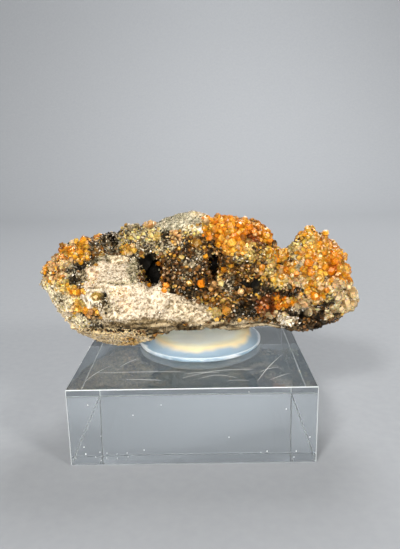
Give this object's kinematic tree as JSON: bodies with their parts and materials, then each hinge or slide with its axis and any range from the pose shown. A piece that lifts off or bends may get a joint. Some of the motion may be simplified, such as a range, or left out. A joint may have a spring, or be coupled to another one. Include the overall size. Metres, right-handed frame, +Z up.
{
  "type": "mineral specimen on display stand",
  "caption": "Orange spessartine garnets on a pale and smoky rock, resting on a milky glass disc and a clear square display block.",
  "frame": {"origin": "centre of the clear block's base", "axes": "+X along the specimen to the viewer's right, +Y away from its show face, +Z up"},
  "size_m": [0.1103, 0.0762, 0.0744],
  "materials": {
    "acrylic": "clear and polished, with light scratches",
    "opal_glass": "milky, blue at the rim and warm inside",
    "matrix": "rough granular stone, cream, smoky black and grey-green",
    "garnet": "bright orange glassy crystal faces",
    "garnet_pale": "peach and yellow-orange glassy crystal faces",
    "garnet_dark": "deep red-orange glassy crystal faces"
  },
  "bodies": {
    "root": {"acrylic_block": "acrylic", "opal_glass_disc": "opal_glass", "matrix_rock": "matrix", "garnet_crown": "garnet", "garnet_knob": "garnet", "garnet_shoulder": "garnet_pale", "garnet_ember": "garnet_dark"}
  },
  "joints": []
}
